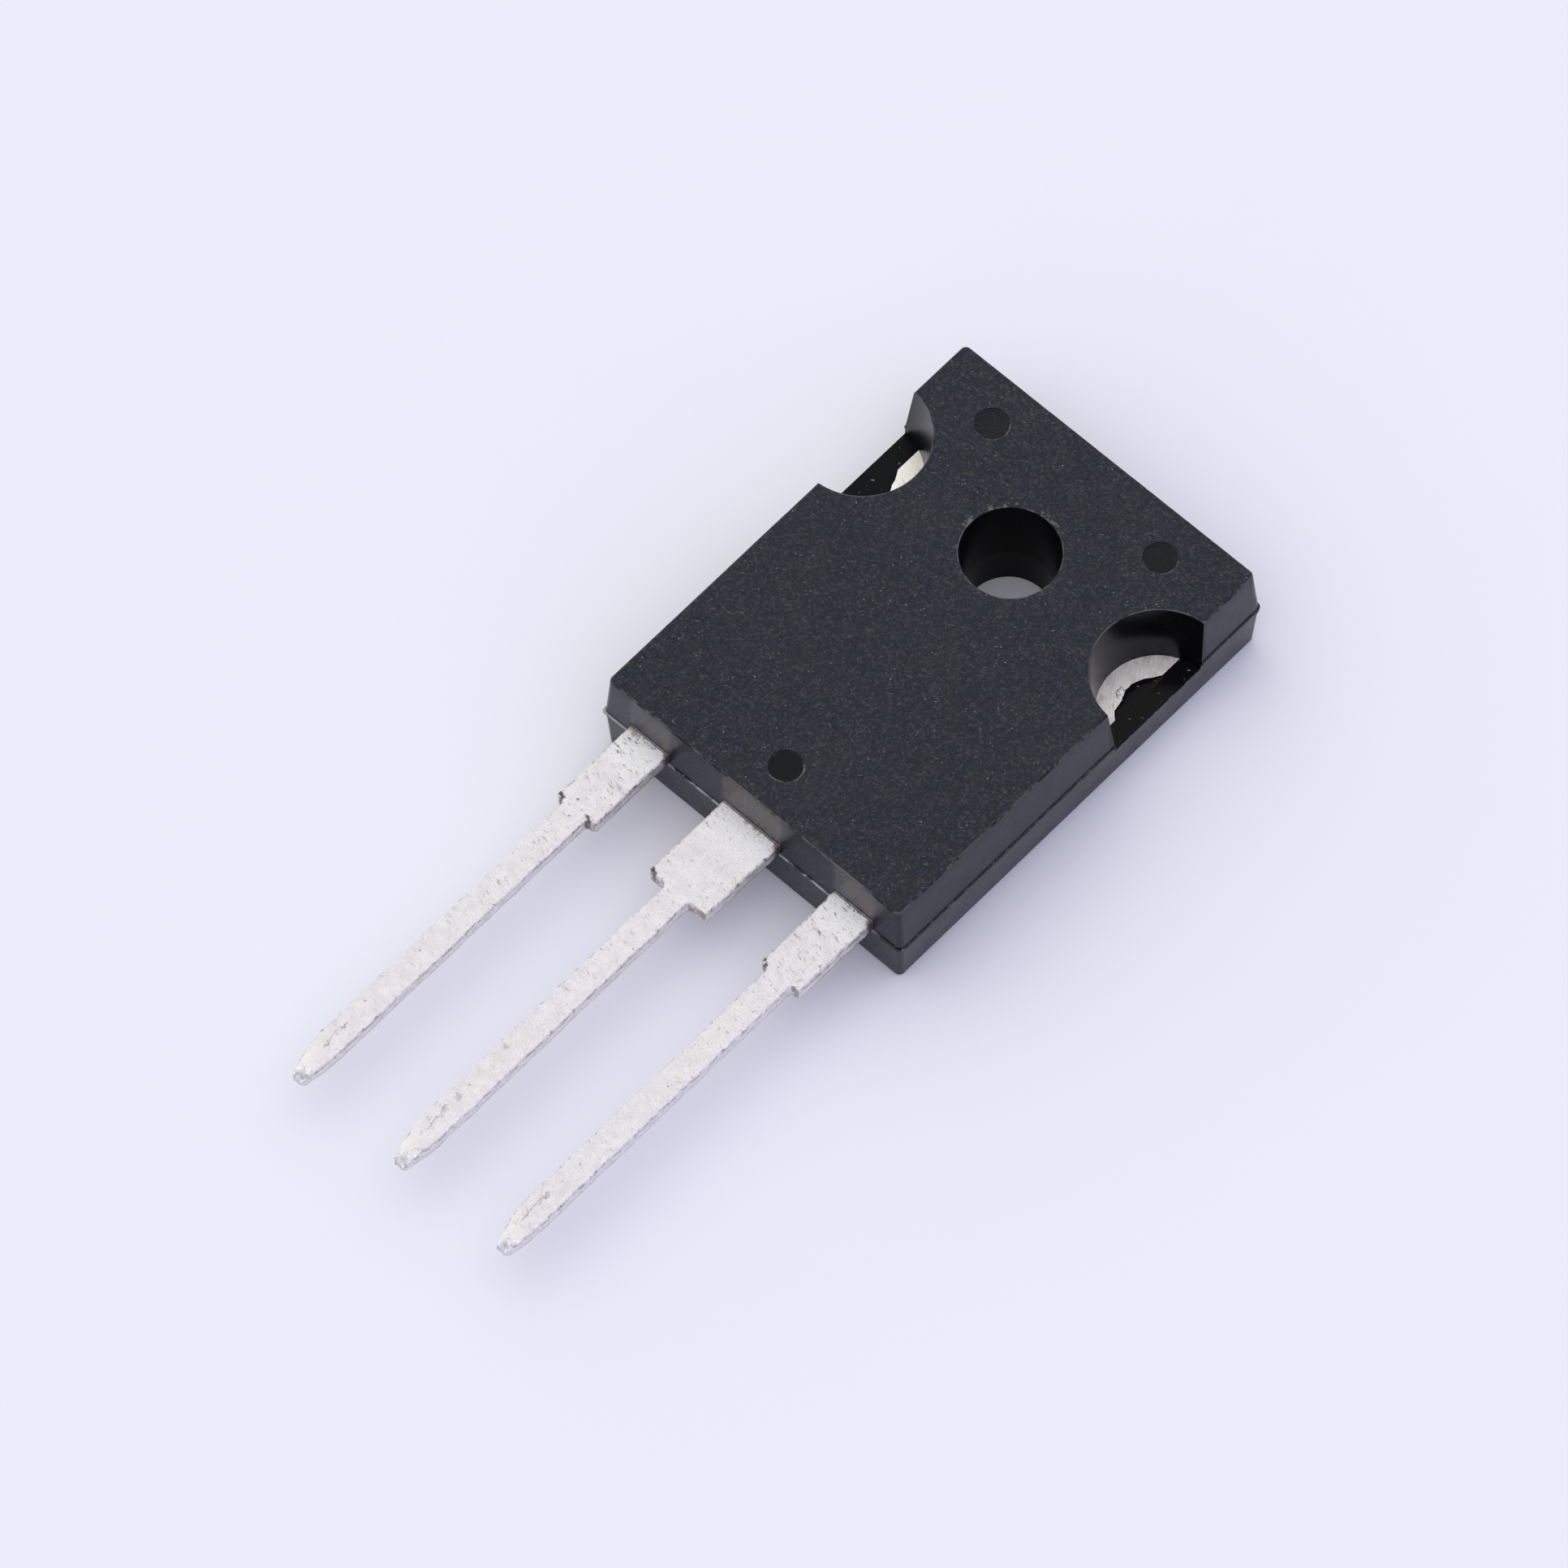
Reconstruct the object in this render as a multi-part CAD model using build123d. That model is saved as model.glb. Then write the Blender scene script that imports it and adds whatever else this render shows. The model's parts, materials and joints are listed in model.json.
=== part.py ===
from build123d import *
import math
import os

# Three-lead transistor in a TO-247 style through-hole power package.
# Millimetres. The origin is the centre of the mounting hole on the back face.
# +Z leaves the marked face, the leads run towards -Y and the gate lead is at -X.

# Moulded body, measured at its parting line
body_width = 15.9
body_length = 21.1
body_thickness = 5.1
hole_to_far_edge = 6.05
upper_draft = 4.5
lead_end_draft = 1.5
lower_draft = 3.0
corner_radius = 0.25
edge_radius = 0.1
parting_ridge_width = 0.05
parting_ridge_height = 0.12

# Openings in the body
hole_diameter = 3.6
hole_land = 2.0
hole_draft = 5.0
notch_radius = 2.5
notch_draft = 6.0
ejector_mark_diameter = 1.44
ejector_mark_depth = 0.06
far_mark_offset = 4.5
far_mark_from_hole = 3.85
near_mark_from_hole = 13.05

# Leads
lead_pitch = 5.45
lead_thickness = 0.65
lead_underside = 2.45
lead_reach = 20.2
lead_width = 1.2
shoulder_reach = 4.25
outer_shoulder_width = 2.05
centre_shoulder_width = 3.05
shoulder_corner_radius = 0.12
shoulder_root_radius = 0.2
largest_corner_share = 0.35
largest_root_share = 0.5
sheared_edge_bevel = 0.06
tip_taper_length = 2.0
tip_width = 0.5
tip_corner_radius = 0.12
tip_coin_length = 1.1
tip_thickness = 0.35

# Heat-sink tab, flush with the back face
tab_thickness = 2.0
tab_side_margin = 0.95
tab_far_margin = 0.95
tab_near_margin = 3.05
tab_corner_radius = 0.6
ring_hole_diameter = 7.2
lock_step_width = 0.35
lock_step_height = 0.5
joggle_flat = 0.45
joggle_run = 1.1
joggle_radius = 0.4

# Bond posts, the inner ends of the gate and emitter leads
post_gap = 0.6
post_length = 1.4
post_inset = 0.35
gate_post_width = 3.0
emitter_post_width = 3.8
post_corner_radius = 0.3

# Chip and the solder under it
solder_thickness = 0.08
solder_margin = 0.15
die_width = 6.6
die_length = 5.6
die_thickness = 0.2
die_from_tab_end = 1.2

# Bond wires
emitter_wire_count = 2
emitter_wire_diameter = 0.5
gate_wire_diameter = 0.2
emitter_bond_offset = 1.2
die_wire_pitch = 1.8
post_wire_pitch = 1.4
gate_bond_margin = 0.7
wire_loop_height = 1.05
wire_peak_share = 0.45
wire_bend_radius = 0.6
wire_foot = 0.55
foot_flattening = 0.3

# Places worked out from the sizes above
half_width = body_width / 2
far_wall = hole_to_far_edge
lead_wall = hole_to_far_edge - body_length
body_middle = (far_wall + lead_wall) / 2
parting_height = lead_underside
lead_top = lead_underside + lead_thickness
lead_tip = lead_wall - lead_reach
tab_width = body_width - 2 * tab_side_margin
tab_far_end = far_wall - tab_far_margin
tab_near_end = lead_wall + tab_near_margin
tab_length = tab_far_end - tab_near_end
post_far_end = tab_near_end - post_gap
post_near_end = post_far_end - post_length
post_middle = (post_far_end + post_near_end) / 2
gate_post_centre = -lead_pitch + post_inset
emitter_post_centre = lead_pitch - post_inset
die_bottom = tab_thickness + solder_thickness
die_top = die_bottom + die_thickness
die_centre = tab_near_end + die_from_tab_end + die_length / 2


def setback(height, draft):
    """How far a wall leans in over a height."""
    return height * math.tan(math.radians(draft))


def moulded_half(rise, side_draft, lead_end_draft):
    """Half of the moulding, drafted on all four sides as it rises from the parting line."""
    block = Box(body_width, body_length, rise, align=(Align.CENTER, Align.CENTER, Align.MIN))
    walls = block.faces().filter_by(Plane.XY, reverse=True).sort_by(Axis.Y)
    block = draft(walls[1:], Plane.XY, side_draft)
    block = draft(block.faces().sort_by(Axis.Y)[0], Plane.XY, lead_end_draft)
    level = block.faces().filter_by(Plane.XY).edges()
    block = fillet(block.edges() - level, corner_radius)
    block = fillet(block.faces().sort_by(Axis.Z)[-1].edges(), edge_radius)
    return Pos(0, body_middle) * block


def parting_ridge():
    """Fine ridge round the body, left where the two halves of the mould met."""
    outline = Rectangle(body_width + 2 * parting_ridge_width, body_length + 2 * parting_ridge_width)
    outline = fillet(outline.vertices(), corner_radius + parting_ridge_width)
    return extrude(Pos(0, body_middle) * outline, amount=-parting_ridge_height)


def bore():
    """Mounting hole: a straight land at the back, then a draft that opens upwards."""
    radius = hole_diameter / 2
    upper = body_thickness - hole_land
    land = Cylinder(radius, hole_land, align=(Align.CENTER, Align.CENTER, Align.MIN))
    mouth = radius + setback(upper, hole_draft)
    drafted = Cone(radius, mouth, upper, align=(Align.CENTER, Align.CENTER, Align.MIN))
    return land + Pos(0, 0, hole_land) * drafted


def notch(side):
    """Drafted side notch that uncovers the top of the tab beside the mounting hole."""
    depth = body_thickness - tab_thickness
    mouth = notch_radius + setback(depth, notch_draft)
    cutter = Cone(notch_radius, mouth, depth, align=(Align.CENTER, Align.CENTER, Align.MIN))
    return Pos(side * half_width, 0, tab_thickness) * cutter


def ejector_marks():
    """Three shallow round marks left in the top face by the mould's ejector pins."""
    mark = Cylinder(
        ejector_mark_diameter / 2,
        ejector_mark_depth,
        align=(Align.CENTER, Align.CENTER, Align.MAX),
    )
    places = [
        (-far_mark_offset, far_mark_from_hole),
        (far_mark_offset, far_mark_from_hole),
        (0, -near_mark_from_hole),
    ]
    return [Pos(x, y, body_thickness) * mark for x, y in places]


def mould_body(inner_pieces):
    """Epoxy moulding, cast round every inner piece."""
    upper = moulded_half(body_thickness - parting_height, upper_draft, lead_end_draft)
    lower = mirror(moulded_half(parting_height, lower_draft, lower_draft), Plane.XY)
    solid = Pos(0, 0, parting_height) * (upper + lower + parting_ridge())
    solid -= bore()
    solid -= notch(-1)
    solid -= notch(1)
    solid -= ejector_marks()
    solid -= inner_pieces
    return solid


def tab():
    """Heat-sink tab with the ring hole, and a lip that locks it into the moulding."""
    middle = Pos(0, (tab_far_end + tab_near_end) / 2)
    outline = fillet(Rectangle(tab_width, tab_length).vertices(), tab_corner_radius)
    lower = Rectangle(tab_width - 2 * lock_step_width, tab_length - 2 * lock_step_width)
    lower = fillet(lower.vertices(), tab_corner_radius)
    plate = extrude(middle * outline, amount=tab_thickness)
    undercut = extrude(middle * (outline - lower), amount=lock_step_height)
    ring = Cylinder(
        ring_hole_diameter / 2,
        tab_thickness,
        align=(Align.CENTER, Align.CENTER, Align.MIN),
    )
    return plate - undercut - ring


def joggle():
    """Neck that steps up from the top of the tab to the level of the leads."""
    low = tab_thickness - lead_thickness / 2
    high = lead_underside + lead_thickness / 2
    bend = tab_near_end - joggle_flat
    rise_end = bend - joggle_run
    centre_line = FilletPolyline(
        (tab_near_end, low),
        (bend, low),
        (rise_end, high),
        (rise_end - joggle_flat, high),
        radius=joggle_radius,
    )
    strip = make_face(offset(centre_line, amount=lead_thickness / 2, side=Side.BOTH))
    return extrude(Plane.YZ * strip, amount=centre_shoulder_width / 2, both=True)


def step_vertices(plan, shoulder_end):
    """Four corners of the step in a lead's width, the two at the shank first."""
    step = plan.vertices().sort_by(lambda v: abs(v.Y - shoulder_end))[:4]
    return step.sort_by(lambda v: abs(v.X))


def blade_plan(shoulder_width, inner_end):
    """Outline of a lead seen from above: wide shoulder, narrow shank, bullet-shaped tip."""
    shoulder_end = lead_wall - shoulder_reach
    taper_start = (lead_width / 2, lead_tip + tip_taper_length)
    tip_edge = (tip_width / 2, lead_tip)
    half_outline = Polyline(
        (0, inner_end),
        (shoulder_width / 2, inner_end),
        (shoulder_width / 2, shoulder_end),
        (lead_width / 2, shoulder_end),
        taper_start,
    )
    half_outline += TangentArc(taper_start, tip_edge, tangent=(0, -1))
    half_outline += Line(tip_edge, (0, lead_tip))
    plan = make_face(half_outline + mirror(half_outline, Plane.YZ))
    tip_corners = plan.vertices().group_by(Axis.Y)[0].sort_by(Axis.X)
    plan = fillet([tip_corners[0], tip_corners[-1]], tip_corner_radius)
    step = (shoulder_width - lead_width) / 2
    root_radius = min(shoulder_root_radius, step * largest_root_share)
    outer_radius = min(shoulder_corner_radius, step * largest_corner_share)
    plan = fillet(step_vertices(plan, shoulder_end)[:2], root_radius)
    return fillet(step_vertices(plan, shoulder_end)[-2:], outer_radius)


def blade_profile(inner_end):
    """Side view of a lead: flat strip, coined thinner from both faces at the tip."""
    coined = (lead_thickness - tip_thickness) / 2
    coin_start = lead_tip + tip_coin_length
    side = Polygon(
        (inner_end, 0),
        (inner_end, lead_thickness),
        (coin_start, lead_thickness),
        (lead_tip, lead_thickness - coined),
        (lead_tip, coined),
        (coin_start, 0),
        align=None,
    )
    return Plane.YZ * side


def blade(shoulder_width, inner_end):
    """Stamped lead from inner_end to its tip, with the top edges broken by the shear."""
    strip = extrude(blade_plan(shoulder_width, inner_end), amount=lead_thickness)
    rim = strip.faces().sort_by(Axis.Z)[-1].edges()
    strip = chamfer(rim.sort_by(Axis.Y)[:-1], sheared_edge_bevel)
    strip &= extrude(blade_profile(inner_end), amount=shoulder_width, both=True)
    return Pos(0, 0, lead_underside) * strip


def collector_leadframe():
    """Tab and centre lead, stamped and bent from one strip."""
    inner_end = tab_near_end - 2 * joggle_flat - joggle_run
    return tab() + joggle() + blade(centre_shoulder_width, inner_end)


def outer_lead(centre, post_centre, post_width):
    """Gate or emitter lead with its bond post inside the moulding."""
    post = Pos(post_centre, post_middle) * Rectangle(post_width, post_length)
    post = fillet(post.vertices(), post_corner_radius)
    post = Pos(0, 0, lead_underside) * extrude(post, amount=lead_thickness)
    return post + Pos(centre, 0) * blade(outer_shoulder_width, post_near_end)


def chip(width, length, bottom, thickness):
    """Flat rectangular layer centred on the chip's place on the tab."""
    layer = Box(width, length, thickness, align=(Align.CENTER, Align.CENTER, Align.MIN))
    return Pos(0, die_centre, bottom) * layer


def bond_wire(start, end, diameter, landings):
    """Looped wire from the chip to a post, its feet pressed flat on the landings."""
    start_point = Vector(*start)
    end_point = Vector(*end)
    run = end_point - start_point
    along = run.normalized()
    free_run = run.length - 2 * wire_foot
    seat = diameter / 2 * (1 - foot_flattening)
    route = [
        (0, die_top + seat),
        (wire_foot, die_top + seat),
        (wire_foot + free_run * wire_peak_share, die_top + wire_loop_height),
        (run.length - wire_foot, lead_top + seat),
        (run.length, lead_top + seat),
    ]
    corners = [start_point + along * distance + Vector(0, 0, level) for distance, level in route]
    path = FilletPolyline(*corners, radius=wire_bend_radius)
    section = Plane(origin=path @ 0, z_dir=path % 0) * Circle(diameter / 2)
    return sweep(section, path=path) - landings


def emitter_wires(landings):
    """Parallel-working wires that fan out from the chip to the emitter post."""
    wires = []
    for index in range(emitter_wire_count):
        place = index - (emitter_wire_count - 1) / 2
        start = (emitter_bond_offset + place * die_wire_pitch, die_centre)
        end = (emitter_post_centre + place * post_wire_pitch, post_middle)
        wires.append(bond_wire(start, end, emitter_wire_diameter, landings))
    return wires


def gate_wire(landings):
    """Thin wire from the gate pad in the chip's corner to the gate post."""
    start = (
        -die_width / 2 + gate_bond_margin,
        die_centre - die_length / 2 + gate_bond_margin + wire_foot,
    )
    end = (gate_post_centre, post_middle)
    return bond_wire(start, end, gate_wire_diameter, landings)


os.makedirs("parts", exist_ok=True)

collector = collector_leadframe()
gate = outer_lead(-lead_pitch, gate_post_centre, gate_post_width)
emitter = outer_lead(lead_pitch, emitter_post_centre, emitter_post_width)
solder_layer = chip(
    die_width + 2 * solder_margin, die_length + 2 * solder_margin, tab_thickness, solder_thickness
)
die = chip(die_width, die_length, die_bottom, die_thickness)

pieces = {
    "collector_leadframe": collector,
    "gate_lead": gate,
    "emitter_lead": emitter,
    "die_attach_solder": solder_layer,
    "igbt_die": die,
    "gate_bond_wire": gate_wire([die, gate]),
}
for number, wire in enumerate(emitter_wires([die, emitter]), start=1):
    pieces[f"emitter_bond_wire_{number}"] = wire
pieces["mould_body"] = mould_body(list(pieces.values()))

for name, piece in pieces.items():
    export_step(piece, f"parts/{name}.step")
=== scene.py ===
import json
import math
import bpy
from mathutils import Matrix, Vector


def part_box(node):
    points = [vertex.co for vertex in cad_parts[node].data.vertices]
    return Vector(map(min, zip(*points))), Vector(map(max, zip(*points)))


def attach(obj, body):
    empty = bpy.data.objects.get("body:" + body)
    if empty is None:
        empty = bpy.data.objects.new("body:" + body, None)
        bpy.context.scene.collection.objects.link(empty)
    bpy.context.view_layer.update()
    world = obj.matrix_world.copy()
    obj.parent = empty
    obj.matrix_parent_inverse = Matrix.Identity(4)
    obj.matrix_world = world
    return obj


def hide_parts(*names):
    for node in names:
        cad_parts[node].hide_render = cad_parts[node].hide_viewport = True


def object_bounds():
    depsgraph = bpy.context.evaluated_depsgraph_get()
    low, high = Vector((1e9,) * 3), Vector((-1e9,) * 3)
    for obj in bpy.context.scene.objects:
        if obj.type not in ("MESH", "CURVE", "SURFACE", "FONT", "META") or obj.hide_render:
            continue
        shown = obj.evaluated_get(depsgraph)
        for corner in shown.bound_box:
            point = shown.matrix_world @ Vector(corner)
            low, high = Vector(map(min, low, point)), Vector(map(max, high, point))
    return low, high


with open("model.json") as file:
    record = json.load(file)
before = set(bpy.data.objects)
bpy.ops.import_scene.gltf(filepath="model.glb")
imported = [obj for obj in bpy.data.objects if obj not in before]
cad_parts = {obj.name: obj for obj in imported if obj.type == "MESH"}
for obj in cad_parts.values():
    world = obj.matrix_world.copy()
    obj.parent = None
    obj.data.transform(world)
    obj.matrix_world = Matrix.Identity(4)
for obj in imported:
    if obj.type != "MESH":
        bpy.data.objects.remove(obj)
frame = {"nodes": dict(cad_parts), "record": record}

from types import SimpleNamespace

import bmesh
import bpy
from mathutils import Matrix, Vector, noise

# Looks for the three-lead power transistor. Lengths are millimetres in the row frame unless a name
# ends in _m, and MM turns them into metres. Colours are linear.
MM = 0.001
cad_low, cad_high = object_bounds()
nodes = frame["nodes"]

# Sizes shared with the CAD
top_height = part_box("mould_body")[1].z / MM
wall_half_width = 7.95
lead_wall = -15.05
far_wall = 6.05
parting_height = 2.45
mould_corner = 0.25
tab_top = 2.0
tab_half_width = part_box("collector_leadframe")[1].x / MM
hole_rim_radius = 2.071
notch_rim_radius = 2.826
lead_pitch = 5.45
lead_centres = {"gate_lead": -5.45, "collector_leadframe": 0.0, "emitter_lead": 5.45}
shoulder_widths = {"gate_lead": 2.05, "collector_leadframe": 3.05, "emitter_lead": 2.05}
lead_bottom = 2.45
lead_thickness = 0.65
lead_top = lead_bottom + lead_thickness
lead_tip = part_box("gate_lead")[0].y / MM
ejector_mark_radius = 0.72

# Sizes of the stamped leads. A roll scales edge_roll, which lists inset and drop from the top
# down. side_depths are shares of the thickness, and lower_edge lists place outward and height.
skin_start = -14.7
shoulder_end = -19.3
shoulder_corner = 0.17
shank_root = 0.2
shank_half_width = 0.6
taper_power = 1.5
taper_start = lead_tip + 2.0
coin_start = lead_tip + 1.1
tip_setback = 0.15
tip_lean = 0.20
tip_ends = {-1: (0.20, 0.14), 1: (0.45, 0.26)}
shoulder_roll = 1.0
step_roll = 1.7
shank_roll = 0.55
tip_roll = shank_roll + 0.4
edge_roll = [(0.150, 0.000), (0.105, 0.005), (0.062, 0.019), (0.026, 0.045), (0.0, 0.090)]
side_depths = [0.30, 0.48, 0.66, 0.84]
lower_edge = [(-0.008, 0.012), (-0.045, 0.0)]
station_gap = 0.06
step_gap = 0.03
tip_shares = (0.12, 0.25, 0.38, 0.5, 0.62, 0.75, 0.88)
weld_distance = 0.0005
sharp_angle = math.radians(25)

# Places of the marks that stand out: x, y and strength or size
ejector_marks = [(-4.5, 3.85, 0.7), (4.5, 3.85, 0.8), (0.0, -13.05, 1.0)]
brown_spots = [(-0.3, -28.8, 0.18), (-0.1, -31.6, 0.20), (-0.2, -32.4, 0.14), (-0.3, -33.1, 0.14),
               (5.2, -33.4, 0.14), (5.2, -34.1, 0.17)]
# Dark pits by the end of each shoulder, from its -X side and from its end
corner_pits = {
    "gate_lead": [(0.10, 0.16), (0.27, 0.05), (1.60, 0.10), (1.72, -0.06)],
    "collector_leadframe": [(0.10, 0.16), (0.27, 0.05)],
    "emitter_lead": [(0.10, 0.16), (0.27, 0.05)],
}
# Lumps on each lead: place from the lead's centre line, and radii
burrs = {
    "gate_lead": [((-0.96, -19.16, 3.07), (0.07, 0.10, 0.05)),
                  ((-0.86, -19.26, 3.06), (0.10, 0.05, 0.05))],
    "collector_leadframe": [((-1.44, -19.22, 3.06), (0.06, 0.09, 0.05)),
                            ((6.28, -0.40, 2.0), (0.15, 0.20, 0.022)),
                            ((6.40, -0.58, 2.0), (0.14, 0.12, 0.028)),
                            ((6.22, -0.22, 2.0), (0.05, 0.06, 0.02))],
    "emitter_lead": [((-0.99, -15.30, 3.05), (0.05, 0.13, 0.06)),
                     ((-0.96, -19.12, 3.07), (0.07, 0.11, 0.06)),
                     ((-0.88, -19.24, 3.06), (0.11, 0.05, 0.05))],
}
tab_splash = (6.36, -0.47)

epoxy_tones = {
    "blue": (0.0045, 0.0066, 0.0165),
    "grey": (0.0110, 0.0114, 0.0140),
    "cloud": (0.0135, 0.0140, 0.0165),
    "grain": (0.048, 0.048, 0.053),
    "weave": (0.080, 0.080, 0.086),
    "pit": (0.001, 0.001, 0.002),
    # painted reflection: a bluer black for the walls, standing in for the bluish floor they mirror
    "wall": (0.0095, 0.0100, 0.0190),
    "dust": (0.34, 0.34, 0.33),
    "ejector_mark": (0.0028, 0.0028, 0.0028),
    "polished": (0.003, 0.003, 0.0035),
    "lint": (0.22, 0.22, 0.24),
    # partly wear, partly a painted highlight on the edges
    "worn_lit_rim": (0.11, 0.11, 0.115),
    "chipped": (0.16, 0.16, 0.15),
    # painted highlight on the lit side of the round marks' rims
    "mark_rim": (0.17, 0.17, 0.16),
    # painted light on the parting ridge's upward faces
    "lit_ridge_top": (0.034, 0.034, 0.042),
    # painted shade in the groove above the parting ridge
    "groove_shade": (0.003, 0.003, 0.003),
    "ridge_chips": (0.20, 0.20, 0.21),
    # painted highlight along the ledge's edge between the leads
    "ridge_edge_highlight": (0.50, 0.50, 0.53),
    # painted highlight on the shelves' outer edges
    "lip": (0.20, 0.20, 0.21),
    "worn_brown": (0.15, 0.125, 0.10),
    # haze on the wall above each lead, partly a painted reflection of the lead
    "haze_grey": (0.058, 0.062, 0.077),
    "haze_brown": (0.096, 0.082, 0.070),
    # painted shade where the wall meets the top of each lead
    "contact_shade": (0.004, 0.0035, 0.003),
}
tin_tones = {
    "light": (0.745, 0.732, 0.724),
    "dark": (0.672, 0.656, 0.648),
    # painted light on the tops near the body
    "lit_near_body": (0.97, 0.96, 0.96),
    "grain": (0.47, 0.455, 0.45),
    "mark": (0.20, 0.18, 0.165),
    "spot": (0.07, 0.06, 0.05),
    "dent": (0.09, 0.08, 0.07),
    # painted light: the sides' tin, paler than the tops', less so near the body
    "side": (0.96, 0.925, 0.89),
    "lit_side_near_body": (0.84, 0.80, 0.73),
    "side_grain": (0.36, 0.34, 0.34),
    "side_shear": (0.20, 0.175, 0.155),
    "sheared_edge": (0.20, 0.18, 0.19),
    "lower_edge": (0.16, 0.135, 0.115),
    "edge_nick": (0.12, 0.105, 0.095),
    "glint": (0.95, 0.94, 0.93),
    "residue": (0.19, 0.13, 0.08),
    "side_foot": (0.10, 0.07, 0.045),
    # painted shade where each lead meets the body
    "foot": (0.02, 0.016, 0.013),
    "corner_stain": (0.11, 0.065, 0.03),
    "corner_pit": (0.06, 0.05, 0.04),
    "brown_spot": (0.22, 0.175, 0.13),
    "step_stain": (0.26, 0.20, 0.12),
    "scuff": (0.20, 0.19, 0.185),
    "cut": (0.24, 0.23, 0.24),
    # warm tint with a painted highlight at the tips
    "warm_lit_end": (0.90, 0.885, 0.79),
    "tab_light": (0.95, 0.915, 0.86),
    "tab_dark": (0.74, 0.705, 0.65),
    "tab_stain": (0.42, 0.37, 0.31),
    "tab_scratch": (0.16, 0.14, 0.12),
    # painted reflection on the tab at -X
    "tab_left_reflection": (1.0, 0.97, 0.90),
    "tab_splash": (0.98, 0.97, 0.95),
}
paper_tones = ((0.80, 0.796, 0.868), (0.82, 0.816, 0.885))


# ---------------------------------------------------------------- node graph helpers

class Graph:
    """Builds the node graph of one material, with lengths in millimetres.

    A mask is a number from 0 to 1 that varies over the surface.
    """

    def __init__(self, name):
        self.material = bpy.data.materials.new(name)
        self.material.use_nodes = True
        self.tree = self.material.node_tree
        self.tree.nodes.clear()
        self.output = self.node("OutputMaterial")
        place = self.node("TexCoord").outputs["Object"]
        self.place = self.vector("SCALE", place, scale=1 / MM)
        self.x, self.y, self.z = self.split(self.place)
        self.nx, self.ny, self.nz = self.split(self.node("NewGeometry").outputs["Normal"])
        self.plan = self.join(self.x, self.y, 0.0)

    def node(self, kind):
        return self.tree.nodes.new("ShaderNode" + kind)

    def plug(self, socket, value):
        """Links value into socket, or sets it there when it is a plain number or colour."""
        if isinstance(value, bpy.types.NodeSocket):
            self.tree.links.new(value, socket)
        elif hasattr(value, "__len__") and len(value) == 3 and socket.type == "RGBA":
            socket.default_value = (*value, 1.0)
        else:
            socket.default_value = value

    def split(self, vector):
        node = self.node("SeparateXYZ")
        self.plug(node.inputs[0], vector)
        return node.outputs

    def join(self, x, y, z):
        node = self.node("CombineXYZ")
        for socket, value in zip(node.inputs, (x, y, z)):
            self.plug(socket, value)
        return node.outputs[0]

    def vector(self, operation, a, b=None, scale=None):
        node = self.node("VectorMath")
        node.operation = operation
        self.plug(node.inputs[0], a)
        if b is not None:
            self.plug(node.inputs[1], b)
        if scale is not None:
            self.plug(node.inputs["Scale"], scale)
        return node.outputs["Value" if operation in ("LENGTH", "DISTANCE") else "Vector"]

    def distance(self, x, y):
        """Distance in plan from a place."""
        return self.vector("DISTANCE", self.plan, (x, y, 0.0))

    def length(self, x, y):
        """Length of a vector in plan."""
        return self.vector("LENGTH", self.join(x, y, 0.0))

    def math(self, operation, a, b=0.0, c=0.0):
        node = self.node("Math")
        node.operation = operation
        for socket, value in zip(node.inputs, (a, b, c)):
            self.plug(socket, value)
        return node.outputs[0]

    def absolute(self, value):
        return self.math("ABSOLUTE", value)

    def add(self, a, b):
        return self.math("ADD", a, b)

    def sub(self, a, b):
        return self.math("SUBTRACT", a, b)

    def mul(self, *values):
        result = values[0]
        for value in values[1:]:
            result = self.math("MULTIPLY", result, value)
        return result

    def both(self, *masks):
        """Mask of the places where all masks are 1."""
        return self.mul(*masks)

    def either(self, *masks):
        """Mask of the places where any mask is 1."""
        result = masks[0]
        for mask in masks[1:]:
            result = self.math("MAXIMUM", result, mask)
        return result

    def invert(self, mask):
        return self.math("SUBTRACT", 1.0, mask)

    def step(self, value, start, end, low=0.0, high=1.0):
        """Smooth change from low to high as value goes from start to end."""
        node = self.node("MapRange")
        node.interpolation_type = "SMOOTHSTEP"
        flip = start > end
        self.plug(node.inputs["Value"], value)
        self.plug(node.inputs["From Min"], end if flip else start)
        self.plug(node.inputs["From Max"], start if flip else end)
        self.plug(node.inputs["To Min"], high if flip else low)
        self.plug(node.inputs["To Max"], low if flip else high)
        return node.outputs["Result"]

    def band(self, value, low, high, soft):
        """1 between low and high, fading to 0 over soft outside them."""
        return self.both(self.step(value, low - soft, low), self.step(value, high + soft, high))

    def noise(self, scale, detail=3.0, roughness=0.5, vector=None, distortion=0.0):
        node = self.node("TexNoise")
        self.plug(node.inputs["Vector"], self.place if vector is None else vector)
        node.inputs["Scale"].default_value = scale
        node.inputs["Detail"].default_value = detail
        node.inputs["Roughness"].default_value = roughness
        node.inputs["Distortion"].default_value = distortion
        return node.outputs[0]

    def noise_step(self, scale, detail, roughness, start, end):
        """Blotches: a smooth change from 0 to 1 as the noise goes from start to end."""
        return self.step(self.noise(scale, detail, roughness), start, end)

    def around_zero(self, noise, size):
        """Noise moved from about 0.5 to about 0, times size."""
        return self.mul(self.sub(noise, 0.5), size)

    def cells(self, scale, vector=None, output="Distance"):
        node = self.node("TexVoronoi")
        self.plug(node.inputs["Vector"], self.place if vector is None else vector)
        node.inputs["Scale"].default_value = scale
        return node.outputs[output]

    def specks(self, scale, size, share, vector=None):
        """Scattered spots: size is their radius in cells, share how many of the cells have one."""
        near = self.cells(scale, vector)
        pick = self.split(self.cells(scale, vector, "Color"))[0]
        return self.both(self.step(near, size, 0.45 * size),
                         self.step(pick, 1 - share, 1.02 - share))

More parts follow.
